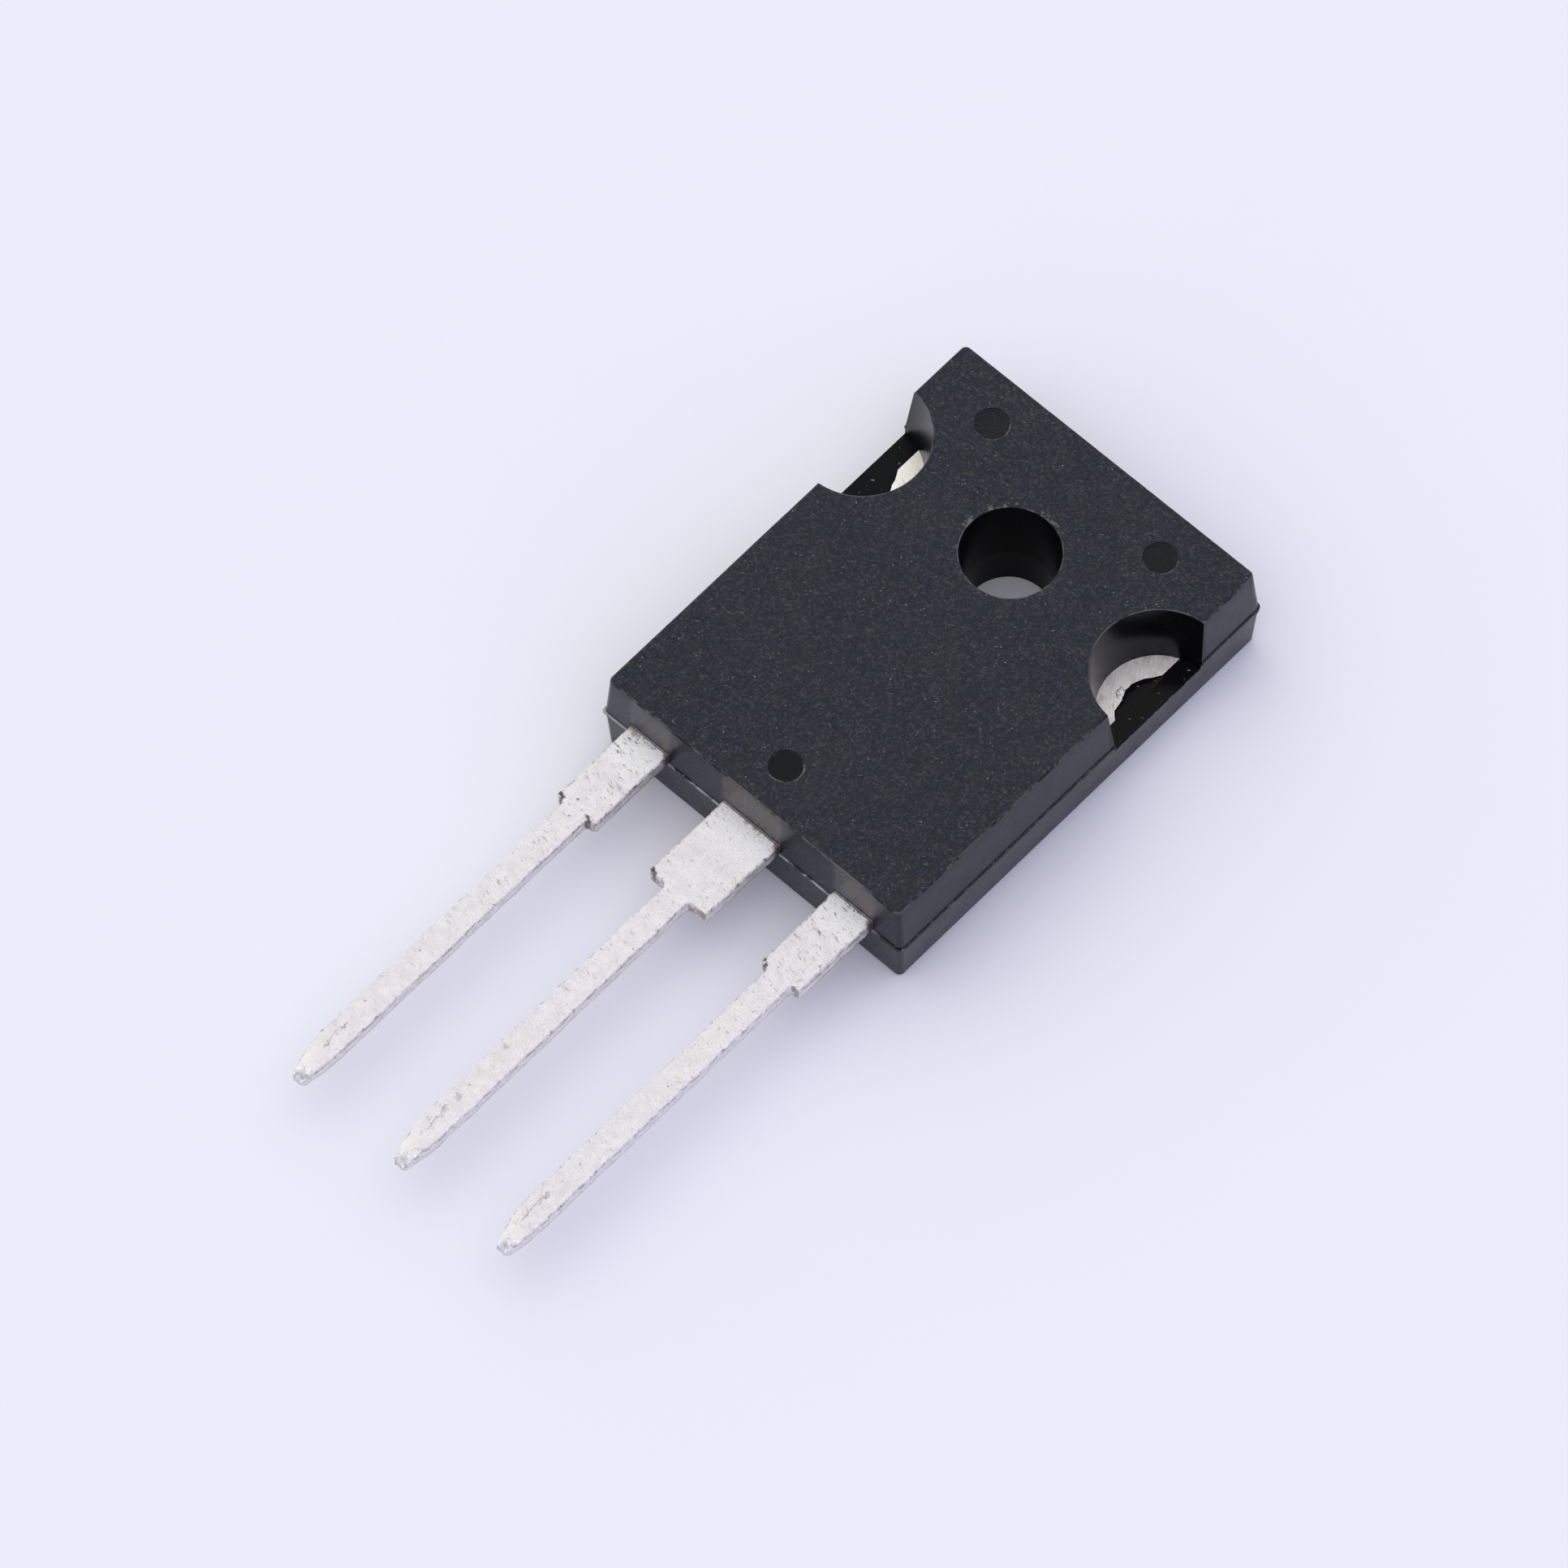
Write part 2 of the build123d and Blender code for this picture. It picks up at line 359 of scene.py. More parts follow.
    def stretched(self, x, y, z, turn=0.0):
        """The place scaled by x, y, z, after a turn in degrees about Z."""
        turned = self.node("VectorRotate")
        turned.rotation_type = "Z_AXIS"
        self.plug(turned.inputs["Vector"], self.place)
        turned.inputs["Angle"].default_value = math.radians(turn)
        scaled = self.node("Mapping")
        self.plug(scaled.inputs["Vector"], turned.outputs[0])
        scaled.inputs["Scale"].default_value = (x, y, z)
        return scaled.outputs[0]

    def blend(self, amount, a, b):
        """Colour a where amount is 0 and b where it is 1."""
        node = self.node("Mix")
        node.data_type = "RGBA"
        self.plug(node.inputs[0], amount)
        self.plug(node.inputs[6], a)
        self.plug(node.inputs[7], b)
        return node.outputs[2]

    def cover(self, base, colour, *masks):
        """Colour base with another colour over it where all masks are 1."""
        return self.blend(self.mul(*masks), base, colour)

    def mix(self, amount, a, b):
        """Number a where amount is 0 and b where it is 1."""
        node = self.node("Mix")
        self.plug(node.inputs[0], amount)
        self.plug(node.inputs[2], a)
        self.plug(node.inputs[3], b)
        return node.outputs[0]

    def bump(self, height_mm):
        """Bump from a height in millimetres."""
        node = self.node("Bump")
        node.inputs["Strength"].default_value = 1.0
        node.inputs["Distance"].default_value = MM
        self.plug(node.inputs["Height"], height_mm)
        return node.outputs[0]

    def finish(self, **inputs):
        shader = self.node("BsdfPrincipled")
        for name, value in inputs.items():
            self.plug(shader.inputs[name.replace("_", " ")], value)
        self.tree.links.new(shader.outputs[0], self.output.inputs["Surface"])
        return self.material


# ---------------------------------------------------------------- moulding compound

def near_top(g, start, end):
    """Smooth change from 0 to 1 between two depths below the top face."""
    return g.step(g.z, top_height - start, top_height - end)


def compound_masks(g):
    """The moulding's regions, and the noises that its grain and wear share."""
    m = SimpleNamespace()
    m.top = g.both(g.step(g.nz, 0.93, 0.99), near_top(g, 0.12, 0.04))
    m.from_hole = g.length(g.x, g.y)
    m.from_notch = g.length(g.sub(g.absolute(g.x), wall_half_width), g.y)
    below_top = near_top(g, 0.02, 0.07)
    above_tab = g.step(g.z, tab_top - 0.05, tab_top)
    m.notch_wall = g.both(g.step(m.from_notch, notch_rim_radius + 0.03, notch_rim_radius),
                          above_tab, below_top)
    m.bore_wall = g.both(g.step(m.from_hole, hole_rim_radius + 0.03, hole_rim_radius), below_top)
    m.polished = g.either(m.notch_wall, m.bore_wall)
    m.shelf = g.both(g.step(g.z, tab_top + 0.09, tab_top + 0.05), above_tab,
                     g.step(g.nz, 0.5, 0.8))
    m.rim_band = g.both(g.band(g.nz, 0.20, 0.92, 0.06), near_top(g, 0.16, 0.09))
    m.lead_end = g.step(g.y, lead_wall + 0.25, lead_wall + 0.1)
    m.left = g.step(g.x, 0.5, -0.5)

    m.grain = g.noise(7.0, 6.0, 0.75)
    m.weave = g.noise(1.0, 5.0, 0.75, g.stretched(6.0, 11.0, 6.0, -43.0), 0.8)
    m.mottle = g.noise(1.3, 5.0, 0.6)
    m.wobble = g.around_zero(g.noise(2.2, 2.0, 0.6), 0.16)
    return m


def ejector_pin_marks(g, m):
    """Masks of the round marks, and of the painted highlight on the lit part of their rims."""
    in_mark, mark_rim = 0.0, 0.0
    for x, y, strength in ejector_marks:
        off = g.add(g.distance(x, y), m.wobble)
        disc = g.step(off, ejector_mark_radius, ejector_mark_radius - 0.06)
        in_mark = g.either(in_mark, g.mul(disc, strength))
        # painted highlight: a pale arc only on the +X side of each rim
        ring = g.band(off, ejector_mark_radius - 0.01, ejector_mark_radius + 0.02, 0.03)
        lit = g.step(g.sub(g.mul(g.sub(g.x, x), 0.9), g.mul(g.sub(g.y, y), 0.5)), -0.1, 0.5)
        mark_rim = g.either(mark_rim, g.mul(ring, lit, strength))
    mark_rim = g.both(mark_rim, g.noise_step(3.0, 3.0, 0.6, 0.40, 0.55), near_top(g, 0.12, 0.03))
    in_mark = g.both(in_mark, near_top(g, 0.12, 0.05), g.step(g.nz, 0.5, 0.9))
    return in_mark, mark_rim


def dust_and_fibres(g):
    """Mask of pale dots, crumbs and short fibres, in patches."""
    dots = g.specks(2.6, 0.085, 0.16)
    crumbs = g.specks(5.0, 0.19, 0.12)
    patches = g.step(g.noise(0.9, 4.0, 0.65), 0.40, 0.62, 0.25, 1.0)
    fibres = 0.0
    for turn, shortness, share in ((-43.0, 1.7, 0.16), (-28.0, 2.4, 0.14), (-62.0, 2.2, 0.14),
                                   (15.0, 2.8, 0.10), (70.0, 3.0, 0.08)):
        strand = g.specks(1.0, 0.16, share, g.stretched(shortness, 8.5, 3.0, turn))
        fibres = g.either(fibres, strand)
    return g.mul(g.either(dots, g.mul(crumbs, 0.8), g.mul(fibres, 0.5)), patches)


def compound_colour(g, m):
    """Mottled black with its grain, dust, round marks, polished parts and linty shelves; the walls
    carry a painted reflection of the bluish floor.
    """
    tones = epoxy_tones
    cloud = g.noise(0.25, 3.0, 0.55)
    base = g.blend(g.step(m.mottle, 0.36, 0.66), tones["blue"], tones["grey"])
    base = g.cover(base, tones["cloud"], g.step(cloud, 0.4, 0.65), 0.4)
    base = g.cover(base, tones["grain"], g.step(m.grain, 0.50, 0.66), g.mix(m.top, 0.25, 0.9))
    base = g.cover(base, tones["weave"], g.step(m.weave, 0.55, 0.68), g.mix(m.top, 0.10, 0.85))
    base = g.cover(base, tones["pit"], g.step(m.grain, 0.48, 0.32), 0.9)
    # painted reflection: the walls are tinted bluer, as if mirroring the bluish floor
    base = g.cover(base, tones["wall"], g.invert(m.top), 0.7)
    dusty = g.mul(m.dust, g.mix(m.top, 0.25, 1.0), g.invert(g.mul(m.polished, 0.9)))
    base = g.cover(base, tones["dust"], dusty)
    base = g.cover(base, tones["ejector_mark"], m.in_mark)
    base = g.cover(base, tones["polished"], g.either(m.polished, m.shelf))
    lint = g.specks(1.0, 0.20, 0.30, g.stretched(2.2, 4.4, 1.0, -30.0))
    lint = g.either(lint, g.mul(g.specks(5.0, 0.2, 0.2), 0.5))
    return g.cover(base, tones["lint"], g.both(m.shelf, lint, g.step(m.grain, 0.40, 0.52)), 0.8)


def worn_lit_rims(g, m, base):
    """Pale rims on the top's edges and the mouths of the hole and notches, partly wear and partly
    painted highlight; a painted highlight on the far corner; chips round the hole; and the painted
    highlight on the round marks' rims.
    """
    tones = epoxy_tones
    wear = g.noise(1.1, 5.0, 0.65)
    mouth = g.either(
        g.band(m.from_hole, hole_rim_radius - 0.02, hole_rim_radius + 0.035, 0.02),
        g.band(m.from_notch, notch_rim_radius - 0.02, notch_rim_radius + 0.03, 0.02),
    )
    mouth = g.both(mouth, near_top(g, 0.06, 0.02))
    # pale rims: partly wear, partly a painted highlight along the edges
    rim = g.either(g.both(m.rim_band, g.step(wear, 0.44, 0.56)),
                   g.both(mouth, g.step(wear, 0.46, 0.55)))
    # painted highlight on the far corner above the parting line
    far_corner_highlight = g.both(g.step(g.add(g.x, g.y), 13.42, 13.55),
                        g.step(g.z, parting_height, parting_height + 0.3),
                        g.step(wear, 0.42, 0.52))
    rim = g.either(rim, g.mul(far_corner_highlight, 0.6))
    base = g.cover(base, tones["worn_lit_rim"], rim, 0.65)
    chipped = g.both(g.band(m.from_hole, hole_rim_radius - 0.03, hole_rim_radius + 0.16, 0.10),
                     m.top, g.noise_step(4.0, 4.0, 0.7, 0.54, 0.64),
                     g.step(g.sub(g.y, g.x), 0.2, 1.8, 0.3, 1.0))
    base = g.cover(base, tones["chipped"], chipped, 0.85)
    # painted highlight on the lit side of each round mark's rim
    return g.cover(base, tones["mark_rim"], m.mark_rim, 0.8)


def parting_line(g, m, base):
    """A broken line of painted shade in the groove above the ridge, pale chips, painted light on
    the ridge's upward faces, a painted highlight along the ledge's ragged edge between the leads,
    and a painted highlight on the shelves' outer edges.

    Returns the colour, with the masks of the groove's painted shade and the chips.
    """
    tones = epoxy_tones
    from_parting = g.sub(g.z, parting_height)
    outer = g.either(
        g.step(g.absolute(g.x), wall_half_width - 0.1, wall_half_width - 0.05),
        g.step(g.y, lead_wall + 0.10, lead_wall + 0.05),
        g.step(g.y, far_wall - 0.10, far_wall - 0.05),
    )
    right_corner = g.step(g.x, 6.4, 6.9)
    left_corner = g.step(g.x, -6.4, -6.6)
    # painted shade: a broken dark line in the groove just above the parting ridge
    groove_shade = g.both(g.band(from_parting, 0.075, 0.09, 0.015), outer,
                   g.noise_step(1.4, 4.0, 0.65, 0.49, 0.55),
                   g.either(g.invert(m.lead_end), right_corner, left_corner))
    ridge = g.both(g.band(from_parting, -0.04, 0.06, 0.015), outer)
    ragged = g.noise(1.0, 4.0, 0.7, g.stretched(2.6, 2.6, 0.8))
    chips = g.both(ridge, g.step(ragged, 0.53, 0.62), g.step(m.grain, 0.42, 0.56))
    # the near right corner, where the painted shade is darkest and the ridge's painted light fades
    shaded_corner = g.both(m.lead_end, right_corner)
    # painted highlight: a broken pale line along the ledge between the leads
    ledge_highlight = g.both(ridge, m.lead_end, g.invert(right_corner),
                       g.noise_step(0.9, 4.0, 0.6, 0.40, 0.48))
    # painted light: the ridge's upward faces are made paler, less so at the near right corner
    lit_ridge_top = g.both(g.band(from_parting, -0.02, 0.12, 0.03), outer, g.step(g.nz, 0.25, 0.6))
    base = g.cover(base, tones["lit_ridge_top"], lit_ridge_top, g.mix(shaded_corner, 0.8, 0.1))
    # painted shade in the groove, strongest at the near right corner
    base = g.cover(base, tones["groove_shade"], groove_shade, g.mix(shaded_corner, 0.22, 0.9))
    # pale chips away from the leads, painted highlight between them
    chips_and_highlight_tone = g.blend(m.lead_end, tones["ridge_chips"], tones["ridge_edge_highlight"])
    base = g.cover(base, chips_and_highlight_tone, g.either(chips, g.mul(ledge_highlight, 0.85)), 0.8)
    # painted highlight: a broken pale line along each shelf's outer edge
    lip = g.both(m.shelf, g.step(g.absolute(g.x), wall_half_width - 0.07, wall_half_width - 0.02),
                 g.noise_step(3.0, 4.0, 0.7, 0.50, 0.60))
    return g.cover(base, tones["lip"], lip, 0.7), groove_shade, chips


def haze_and_reflection_above_leads(g, m, base):
    """Grey-brown haze on the wall above each lead, partly a painted reflection of the lead below,
    and painted shade under it.

    Returns the colour, with the mask of the painted shade.
    """
    tones = epoxy_tones
    near_wall = g.both(g.step(g.ny, -0.8, -0.95), m.lead_end)
    haze = 0.0
    for node, x in lead_centres.items():
        half = shoulder_widths[node] / 2
        off = g.add(g.absolute(g.sub(g.x, x)), g.mul(m.wobble, 1.6))
        haze = g.either(haze, g.step(off, half + 0.24, half - 0.14))
    worn = g.both(haze, m.rim_band, g.step(g.y, lead_wall + 0.45, lead_wall + 0.3),
                  g.step(m.mottle, 0.42, 0.58))
    base = g.cover(base, tones["worn_brown"], worn, 0.6)
    # haze, partly a painted reflection: the wall above each lead is made paler
    haze = g.both(haze, near_wall, g.step(g.z, lead_top - 0.1, lead_top + 0.1))
    haze_and_reflection_tone = g.blend(g.step(m.mottle, 0.42, 0.60), tones["haze_grey"], tones["haze_brown"])
    base = g.cover(base, haze_and_reflection_tone, haze, g.step(m.grain, 0.30, 0.60, 0.45, 0.95))
    # painted shade: a dark line low on the wall, just above each lead
    contact_shade = g.both(near_wall, g.step(haze, 0.1, 0.5),
                   g.step(g.z, lead_top + 0.11, lead_top + 0.04))
    return g.cover(base, tones["contact_shade"], contact_shade, 0.95), contact_shade


def epoxy():
    """Black moulding compound: grainy top, satin walls, glossy notches, bore and shelves."""
    g = Graph("moulding_compound")
    m = compound_masks(g)
    m.in_mark, m.mark_rim = ejector_pin_marks(g, m)
    m.dust = dust_and_fibres(g)
    base = compound_colour(g, m)
    base = worn_lit_rims(g, m, base)
    base, groove_shade, chips = parting_line(g, m, base)
    base, contact_shade = haze_and_reflection_above_leads(g, m, base)

    wall_roughness = g.add(0.22, g.mul(g.step(m.mottle, 0.35, 0.7), 0.10))
    roughness = g.mix(m.top, wall_roughness, 0.56)
    roughness = g.mix(g.mul(m.in_mark, 0.8), roughness, 0.42)
    polish = g.add(g.mix(m.left, 0.10, 0.24), g.mul(m.grain, 0.14))
    roughness = g.mix(m.polished, roughness, polish)
    roughness = g.mix(m.bore_wall, roughness, 0.35)

    under_rim = g.both(g.invert(m.top), near_top(g, 0.9, 0.1))
    shine = g.mix(m.top, g.mix(under_rim, 0.25, 0.19), 0.36)
    shine = g.mix(m.in_mark, shine, 0.12)
    shine = g.mix(m.notch_wall, shine, g.mix(m.left, 0.15, 0.40))
    shine = g.mix(g.either(m.shelf, m.bore_wall), shine, 0.08)
    shine = g.mix(contact_shade, shine, 0.05)
    bluish = g.either(m.top, g.both(m.left, m.notch_wall))

    steep = g.step(g.absolute(g.nz), 0.98, 0.6)
    pits = g.noise(20.0, 3.0, 0.6)
    height = g.add(g.mul(m.grain, g.mix(m.top, 0.003, 0.055)),
                   g.mul(pits, g.mix(m.top, 0.001, 0.010)))
    height = g.add(height, g.mul(m.weave, g.mix(m.top, 0.0, 0.012)))
    height = g.mul(height, g.mix(m.polished, 1.0, 0.25), g.mix(m.in_mark, 1.0, 0.4))
    height = g.add(height, g.mul(m.dust, 0.012))
    height = g.sub(height, g.mul(groove_shade, 0.004))
    height = g.add(height, g.mul(chips, steep, 0.02))
    return g.finish(
        Base_Color=base,
        Roughness=roughness,
        Specular_IOR_Level=shine,
        Specular_Tint=g.blend(bluish, (1.0, 1.0, 1.0), (0.90, 0.94, 1.0)),
        Normal=g.bump(height),
        IOR=1.5,
    )


# ---------------------------------------------------------------- tinned copper

def tin_masks(g):
    """The leads' regions and the marks of stamping and handling."""
    m = SimpleNamespace()
    m.outside = g.step(g.y, lead_wall + 0.02, lead_wall - 0.02)
    m.side = g.step(g.absolute(g.nx), 0.5, 0.85)
    m.up = g.step(g.nz, 0.4, 0.9)
    m.to_wall = g.sub(lead_wall, g.y)
    m.to_tip = g.sub(g.y, lead_tip)
    m.near_body = g.step(m.to_wall, 6.0, 1.0)
    m.first_half = g.step(m.to_wall, 17.0, 7.0)
    m.across = g.math("WRAP", g.x, lead_pitch / 2, -lead_pitch / 2)

    m.mottle = g.noise(2.2, 6.0, 0.66)
    m.grain = g.noise(11.0, 5.0, 0.7)
    m.streaks = g.noise(1.0, 6.0, 0.72, g.stretched(2.8, 8.5, 3.0, 14.0), 0.5)
    m.shear = g.noise(1.0, 5.0, 0.65, g.stretched(1.3, 1.3, 16.0))
    m.crumbled = g.noise(1.0, 4.0, 0.75, g.stretched(26.0, 15.0, 10.0, -12.0))

    # strokes and spots lie in patches, with fewer in the middle of the centre lead's shoulder
    calm = g.mul(g.step(g.absolute(g.x), 1.4, 0.9), m.near_body, 0.6)
    patches = g.mul(g.noise_step(1.7, 3.0, 0.6, 0.36, 0.58), g.invert(calm))
    strokes = g.both(g.step(m.streaks, 0.58, 0.63), patches)
    nicks = g.noise(1.0, 6.0, 0.75, g.stretched(10.0, 5.0, 3.0, -30.0), 0.4)
    m.marks = g.either(g.mul(strokes, m.up), g.mul(g.step(nicks, 0.65, 0.70), m.up, 0.6))
    m.spots = g.both(g.noise_step(4.0, 5.0, 0.7, 0.65, 0.69), patches)
    m.dents = g.specks(1.6, 0.07, 0.22)
    rolled = g.band(g.nz, 0.30, 0.93, 0.05)
    m.edge_nicks = g.both(rolled, g.noise_step(4.0, 5.0, 0.7, 0.55, 0.63))
    return m


def tin_colour(g, m):
    """Mottled tin with its strokes, spots and dents, deeper near the body, and painted light on
    the tops near the body.
    """
    tones = tin_tones
    base = g.blend(g.step(m.mottle, 0.32, 0.70), tones["light"], tones["dark"])
    # painted light: the tops are made paler within a few millimetres of the body
    base = g.cover(base, tones["lit_near_body"], g.step(m.to_wall, 2.4, 0.1), 0.9)
    base = g.cover(base, tones["grain"], g.step(m.grain, 0.52, 0.66), 0.55)
    mark_depth = g.either(g.mix(m.first_half, 0.16, 0.55), g.mul(m.near_body, 0.85))
    base = g.cover(base, tones["mark"], m.marks, mark_depth)
    spot_depth = g.either(g.mix(m.first_half, 0.28, 0.70), g.mul(m.near_body, 0.95))
    base = g.cover(base, tones["spot"], m.spots, spot_depth)
    return g.cover(base, tones["dent"], m.dents, 0.7)


def lit_sheared_sides(g, m, base):
    """Sides painted paler than the tops and streaked, their darker upper and lower edges, and
    nicked, glinting top edges.
    """
    tones = tin_tones
    # painted light: the sides get a paler copy of the tin than the tops, less pale near the body
    lit_side_tone = g.blend(g.mix(m.near_body, 0.0, 0.6), tones["side"], tones["lit_side_near_body"])
    base = g.cover(base, lit_side_tone, m.side)
    base = g.cover(base, tones["side_grain"], m.side, g.step(m.grain, 0.50, 0.62), 0.5)
    base = g.cover(base, tones["side_shear"], m.side, g.step(m.shear, 0.50, 0.60),
                   g.mix(m.near_body, 0.25, 0.8))
    sheared = g.both(g.band(g.z, lead_top - 0.16, lead_top - 0.08, 0.04), g.step(g.nz, 0.6, 0.3),
                     m.outside, g.noise_step(2.0, 5.0, 0.7, 0.46, 0.54))
    base = g.cover(base, tones["sheared_edge"], sheared, 0.55)
    under = g.both(m.side, g.step(g.z, lead_bottom + 0.14, lead_bottom + 0.04))
    base = g.cover(base, tones["lower_edge"], under, g.mix(m.near_body, 0.35, 0.75))
    nick_depth = g.mul(g.mix(m.near_body, 0.65, 0.75), g.step(m.to_tip, 0.3, 1.0, 0.35, 1.0))
    base = g.cover(base, tones["edge_nick"], m.edge_nicks, nick_depth)
    glint = g.both(g.band(g.nz, 0.55, 0.97, 0.02), g.noise_step(7.0, 4.0, 0.7, 0.50, 0.60),
                   g.invert(m.near_body))
    return g.cover(base, tones["glint"], glint, 0.8)


def stained_and_shaded_shoulders(g, m, base):
    """Brown residue, a foot of painted shade and dark corners at the body, pits and spots further
    out.
    """
    tones = tin_tones
    residue = g.both(m.outside, g.step(g.add(m.to_wall, g.around_zero(m.mottle, 1.2)), 0.30, 0.02))
    base = g.cover(base, tones["residue"], residue, g.noise_step(2.0, 3.0, 0.6, 0.48, 0.62), 0.7)
    side_foot = g.mul(g.both(m.side, m.outside), g.step(m.to_wall, 0.5, 0.0))
    base = g.cover(base, tones["side_foot"], side_foot, 0.75)
    # painted shade: a dark line on each lead where it meets the body
    foot = g.both(m.outside, g.step(g.add(m.to_wall, g.around_zero(m.grain, 0.15)), 0.08, 0.03))
    base = g.cover(base, tones["foot"], foot, 0.9)
    for node, x in lead_centres.items():
        half = shoulder_widths[node] / 2
        corner = g.distance(x + half, lead_wall - 0.06)
        stain = g.step(g.add(corner, g.around_zero(m.mottle, 0.5)), 0.34, 0.10)
        base = g.cover(base, tones["corner_stain"], stain, m.outside, 0.85)
        for side_in, back in corner_pits[node]:
            pit = g.distance(x - half + side_in, shoulder_end + back)
            pit = g.step(g.add(pit, g.around_zero(m.streaks, 0.55)), 0.13, 0.05)
            base = g.cover(base, tones["corner_pit"], pit, m.outside, 0.85)
    for x, y, size in brown_spots:
        off = g.add(g.distance(x, y), g.mul(g.sub(g.add(m.mottle, m.streaks), 1.0), 0.8))
        spot = g.mul(g.step(off, size, 0.2 * size), m.up)
        base = g.cover(base, tones["brown_spot"], spot, g.step(m.crumbled, 0.40, 0.55, 0.1, 0.6))
    step_face = g.both(g.step(g.ny, -0.4, -0.8),
                       g.band(g.y, shoulder_end - 0.3, shoulder_end + 0.3, 0.1))
    stained = g.noise_step(2.2, 4.0, 0.65, 0.40, 0.60)
    return g.cover(base, tones["step_stain"], step_face, stained, 0.7)


def worn_tips(g, m, base):
    """A scuff down the middle of each shank near its tip, a dark spot at the cut, a warmer end
    with a painted highlight.

    Returns the colour, with the mask of the scuffs, which are faint elsewhere on the shank.
    """
    tones = tin_tones
    scrape = g.noise(1.0, 5.0, 0.7, g.stretched(9.0, 0.9, 2.0, -8.0))
    wander = g.add(m.across, g.around_zero(g.noise(1.6, 4.0, 0.75), 0.9))
    core = g.both(g.step(g.absolute(g.add(wander, 0.10)), 0.17, 0.0),
                  g.band(m.to_tip, 1.6, 2.9, 0.5), g.step(scrape, 0.40, 0.54))
    long_scuff = g.step(g.add(m.crumbled, g.mul(core, 0.28)), 0.68, 0.80)
    faint = g.both(m.outside, g.step(scrape, 0.68, 0.75), g.step(m.to_wall, 6.0, 9.0))
    scuff = g.both(m.up, g.either(long_scuff, g.mul(faint, 0.4)))
    base = g.cover(base, tones["scuff"], scuff, 0.62)
    cut = g.length(g.mul(g.sub(m.across, 0.17), 6.0), g.mul(g.sub(m.to_tip, 0.22), 11.0))
    base = g.cover(base, tones["cut"], g.step(cut, 1.1, 0.4), g.step(m.mottle, 0.42, 0.56), 0.35)
    # warm tint and painted highlight on the -X side of each tip
    warm_lit_end = g.both(g.step(m.to_tip, 2.2, 0.6), g.step(m.across, 0.3, -0.3),
                      g.step(m.mottle, 0.35, 0.55))
    return g.cover(base, tones["warm_lit_end"], warm_lit_end, 0.5), scuff


def tab_colour(g, m):
    """The exposed tab: warmer, drawn with fine scratches, paler at -X with a painted reflection,
    with a splash of tin at +X.
    """
    tones = tin_tones
    scratch = g.noise(1.0, 5.0, 0.7, g.stretched(1.2, 16.0, 1.0, 58.0))
    tab = g.blend(g.step(scratch, 0.42, 0.68), tones["tab_light"], tones["tab_dark"])
    tab = g.cover(tab, tones["tab_stain"], g.noise_step(1.6, 4.0, 0.6, 0.50, 0.72), 0.5)
    cuts = g.both(g.step(scratch, 0.60, 0.66), g.noise_step(2.4, 3.0, 0.6, 0.46, 0.56))
    pecks = g.specks(7.0, 0.16, 0.12)
    tab = g.cover(tab, tones["tab_scratch"], g.either(cuts, pecks), 0.6)
    # painted reflection: the tab is made paler at -X
    tab = g.cover(tab, tones["tab_left_reflection"], g.step(g.x, 1.0, -1.0), 0.8)
    splash_x, splash_y = tab_splash
    splash = g.step(g.length(g.sub(g.x, splash_x), g.sub(g.y, splash_y)), 0.36, 0.22)
    return g.cover(tab, tones["tab_splash"], splash, g.step(m.grain, 0.42, 0.56), 0.85)


def tin():
    """Matt tin over stamped copper, with strokes, pits, sheared sides and scuffed tips."""
    g = Graph("matt_tin")
    m = tin_masks(g)
    base = tin_colour(g, m)
    base = lit_sheared_sides(g, m, base)
    base = stained_and_shaded_shoulders(g, m, base)
    base, scuff = worn_tips(g, m, base)
    tab_face = g.both(g.invert(m.outside), g.step(g.z, tab_top + 0.10, tab_top + 0.05))
    base = g.cover(base, tab_colour(g, m), tab_face)

    height = g.add(g.mul(m.mottle, 0.010), g.mul(m.grain, 0.005))
    height = g.sub(height, g.mul(m.marks, g.mix(m.near_body, 0.001, 0.006)))
    height = g.sub(height, g.mul(g.either(m.spots, m.dents), 0.012))
    height = g.sub(height, g.mul(m.side, m.shear, 0.015))
    height = g.sub(height, g.mul(m.edge_nicks, 0.015))
    height = g.sub(height, g.mul(scuff, 0.006))
    return g.finish(
        Base_Color=base,
        Metallic=g.mix(tab_face, 0.40, 0.55),
        Roughness=g.add(0.42, g.mul(m.mottle, 0.2)),
        Normal=g.bump(height),
    )


# ---------------------------------------------------------------- other materials

def plain_metal(name, colour, roughness, grain_scale):
    """Drawn or cast metal of the pieces sealed inside."""
    g = Graph(name)
    grain = g.noise(grain_scale, 3.0, 0.6)
    dark = tuple(0.8 * c for c in colour)
    return g.finish(
        Base_Color=g.blend(g.step(grain, 0.35, 0.65), colour, dark),
        Metallic=1.0,
        Roughness=roughness,
        Normal=g.bump(g.mul(grain, 0.004)),
    )


def paper():
    """Pale lavender paper."""
    g = Graph("pale_paper")
    cloud = g.noise(0.05, 3.0, 0.5)
    return g.finish(Base_Color=g.blend(cloud, *paper_tones), Roughness=0.85, IOR=1.3)


def use(obj, material):
    obj.data.materials.clear()
    obj.data.materials.append(material)


materials = {
    "epoxy": epoxy(),
    "tinned_copper": tin(),
    "silicon": plain_metal("chip_metal", (0.32, 0.33, 0.36), 0.3, 3.0),
    "solder": plain_metal("soft_solder", (0.55, 0.55, 0.56), 0.5, 5.0),
    "bond_aluminium": plain_metal("bond_wire", (0.82, 0.82, 0.83), 0.35, 20.0),
}
for part in frame["record"]["subparts"]:
    use(nodes[part["node"]], materials[part["material_slot"]])


# ---------------------------------------------------------------- dressed pieces

